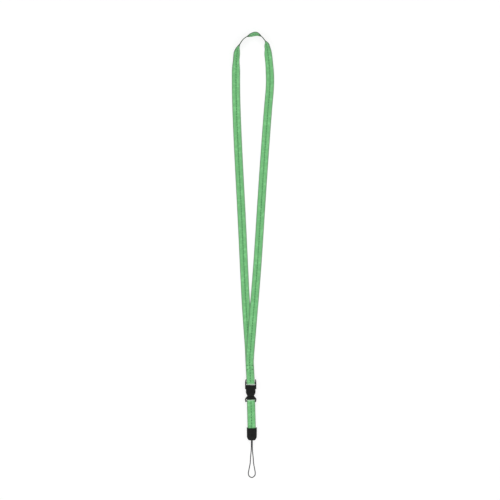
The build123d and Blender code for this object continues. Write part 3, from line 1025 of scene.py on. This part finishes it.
for side, body in ((-1, "arm_left"), (1, "arm_right")):
    arm_low, arm_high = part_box(body)
    pad_x = arm_low.x if side < 0 else arm_high.x
    middle_z = (arm_low.z + arm_high.z) / 2
    pad_line = flat_line(
        [
            (pad_x - side * 0.12 * MM, SHOULDER_Y - 1.5 * MM, middle_z),
            (pad_x - side * 0.07 * MM, SHOULDER_Y - 3.4 * MM, middle_z),
            (pad_x - side * 0.42 * MM, SHOULDER_Y - 5.0 * MM, middle_z),
        ],
        facing=(side, 0, 0),
    )
    grips = grow(body + "_grips", guide(body + "_pad", [pad_line]), ridges, buckle_plastic)
    grips.data.shade_smooth()
    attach(grips, body)

CAP_TOP = cap_high.z
ARC_MIDDLE_Y = cap_high.y - 7.2 * MM
ARC_REACH = 3.3 * MM
ARC_RISE = 1.1 * MM
arcs = [
    flat_line(
        [
            (CAP_X + ARC_REACH * sin(turn), ARC_MIDDLE_Y - drop + ARC_RISE * (1 - cos(turn)), CAP_TOP)
            for turn in np.linspace(-1.0, 1.0, 15)
        ]
    )
    for drop in (0.0, 1.5 * MM, 3.0 * MM)
]
cap_arcs = grow("cap_arcs", guide("arcs", arcs), bead, cap_plastic, Bead_Radius=0.16 * MM)
cap_arcs.data.shade_smooth()
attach(cap_arcs, "tab")

# %% [markdown]
# ## The string
# The loop is a tightly braided nylon cord a little over a millimetre thick. Eight strands cross
# each other, four each way, and a strand stands a little proud wherever it passes on top. The
# binding is a sleeve with fine turns of thread wound round it.

# %% String material
def paint_string(tree):
    place = tree.place()
    fibre = tree.noise(place, 7000.0, 3.0)
    drift = tree.noise(place, 500.0, 2.0)
    return {
        "Base Color": tree.mix(drift, shade(8, 8, 8), shade(20, 20, 20)),
        "Roughness": 0.6 + fibre * 0.2,
        "Normal": tree.bump(fibre, 0.35, 0.04 * MM),
        "Specular IOR Level": 0.3,
    }


string_nylon = new_material("string_nylon", paint_string)


# %% Tubes along a line
def tube(name, centres, radii, material):
    """A closed tube. radii has one row for each centre and one column for each side."""
    heading = headings_of(centres)
    side = unit(np.cross(heading, (0, 0, 1)))
    over = np.cross(side, heading)
    count, ring = radii.shape
    turn = np.linspace(0, 2 * pi, ring, endpoint=False)
    places = (
        centres[:, None, :]
        + side[:, None, :] * (np.cos(turn) * radii)[:, :, None]
        + over[:, None, :] * (np.sin(turn) * radii)[:, :, None]
    ).reshape(-1, 3)
    faces = [
        (start + k, start + ring + k, start + ring + (k + 1) % ring, start + (k + 1) % ring)
        for start in range(0, (count - 1) * ring, ring)
        for k in range(ring)
    ]
    faces.append(tuple(reversed(range(ring))))
    faces.append(tuple(range((count - 1) * ring, count * ring)))
    mesh = bpy.data.meshes.new(name)
    mesh.from_pydata(places.tolist(), [], faces)
    mesh.materials.append(material)
    mesh.shade_smooth()
    return add_object(name, mesh)


def facing_outwards(piece):
    """Turns a closed mesh's faces outwards."""
    shape = bmesh.new()
    shape.from_mesh(piece.data)
    bmesh.ops.recalc_face_normals(shape, faces=shape.faces)
    shape.to_mesh(piece.data)
    shape.free()


# %% The braided loop
STRING_RADIUS = 0.57 * MM
BRAID_PITCH = 1.7 * MM
BRAID_SIDES = 24
STRANDS_EACH_WAY = 4
STRAND_RELIEF = 0.12  # of the string's radius

string_centres, string_station = stations(string_line, spacing=0.12 * MM, turn_step=radians(12))
turn = np.linspace(0, 2 * pi, BRAID_SIDES, endpoint=False)[None, :]
wind = (2 * pi * string_station / BRAID_PITCH)[:, None]
one_way = np.cos(STRANDS_EACH_WAY * turn + wind)
other_way = np.cos(STRANDS_EACH_WAY * turn - wind)
braid = STRING_RADIUS * (1 - STRAND_RELIEF + STRAND_RELIEF * np.maximum(one_way, other_way))
string_braid = tube("string_braid", string_centres, braid, string_nylon)
facing_outwards(string_braid)
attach(string_braid, "tab")
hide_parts("string_loop")

# %% The binding
BINDING_RADIUS = 1.1 * MM
WINDING = 0.1 * MM  # the wound thread's radius
SLEEVE_RADIUS = BINDING_RADIUS - WINDING
SLEEVE_SIDES = 28
WINDING_SIDES = 6

winding = Growth(
    "winding", {"Pitch": 0.24 * MM, "Sleeve Radius": SLEEVE_RADIUS, "Thread Radius": WINDING}
)
hoop = winding.node(
    "GeometryNodeCurvePrimitiveCircle",
    {},
    {"Resolution": SLEEVE_SIDES, "Radius": winding.given("Sleeve Radius")},
)
turns = rounded_tube(winding, hoop, winding.given("Thread Radius"), WINDING_SIDES)
winding.close(set_along(winding, winding.given("Pitch"), turns, "Z", "X"))

binding_centres = stations(binding_line, spacing=0.3 * MM, turn_step=radians(6))[0]
binding_heading = headings_of(binding_centres)
sideways_x = np.tile((1.0, 0.0, 0.0), (len(binding_centres), 1))
binding_turns = grow(
    "binding_turns",
    guide("binding_guide", [(binding_centres, binding_heading, sideways_x)]),
    winding,
    string_nylon,
)
binding_turns.data.shade_smooth()
sleeve_radii = np.full((len(binding_centres), SLEEVE_SIDES), SLEEVE_RADIUS)
binding_sleeve = tube("binding_sleeve", binding_centres, sleeve_radii, string_nylon)
facing_outwards(binding_sleeve)
for piece in (binding_turns, binding_sleeve):
    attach(piece, "tab")
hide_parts("string_binding")

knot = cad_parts["string_knot"]
knot.data.materials.clear()
knot.data.materials.append(string_nylon)

# %% [markdown]
# ## Floor and light
# The lanyard lies on a plain white floor that glows a little, like a light table, so its shadows
# are faint. Four large soft lights stand round it at the same height, so no side is in shade, and
# nothing hangs straight above: the black plastic then mirrors a dark ceiling and stays black.

# %% Floor
FLOOR_DARK = (0.17, 0.17, 0.17, 1)
FLOOR_LIGHT = (0.19, 0.19, 0.19, 1)
FLOOR_GLOW = 0.84
FLOOR_HALF = 3.0


def paint_floor(tree):
    place = tree.place()
    tooth = tree.noise(place, 900.0, 2.0)
    return {
        "Base Color": tree.mix(tooth, FLOOR_DARK, FLOOR_LIGHT),
        "Roughness": 0.9,
        "Specular IOR Level": 0.1,
        "Emission Color": (1.0, 1.0, 1.0, 1.0),
        "Emission Strength": FLOOR_GLOW,
    }


floor_corners = [(x * FLOOR_HALF, y * FLOOR_HALF, 0) for x, y in ((-1, -1), (1, -1), (1, 1), (-1, 1))]
floor_mesh = bpy.data.meshes.new("floor")
floor_mesh.from_pydata(floor_corners, [], [(0, 1, 2, 3)])
floor_mesh.materials.append(new_material("white_floor", paint_floor))
floor = add_object("floor", floor_mesh)

# %% Lights
LIGHT_REACH = 1.5
LIGHT_HEIGHT = 1.5
LIGHT_LONG = 1.6
LIGHT_WIDE = 1.0
LIGHT_POWER = 15.0
ROOM_GLOW = 0.15

for number, (x, y) in enumerate(((1, 0), (0, 1), (-1, 0), (0, -1))):
    light = bpy.data.lights.new(f"softbox_{number}", "AREA")
    light.shape = "RECTANGLE"
    light.size = LIGHT_LONG
    light.size_y = LIGHT_WIDE
    light.energy = LIGHT_POWER
    lamp = add_object(f"softbox_{number}", light)
    lamp.location = (x * LIGHT_REACH, y * LIGHT_REACH, LIGHT_HEIGHT)
    lamp.rotation_mode = "QUATERNION"
    lamp.rotation_quaternion = Vector((x, y, LIGHT_HEIGHT / LIGHT_REACH)).to_track_quat("Z", "Y")

world = bpy.data.worlds.new("studio")
world.use_nodes = True
world.node_tree.nodes.clear()
studio = Tree(world.node_tree)
glow = studio.node("ShaderNodeBackground", {}, {"Color": (1, 1, 1, 1), "Strength": ROOM_GLOW})
studio.node("ShaderNodeOutputWorld", {}, {"Surface": glow})
scene.world = world
scene.view_settings.view_transform = "Standard"
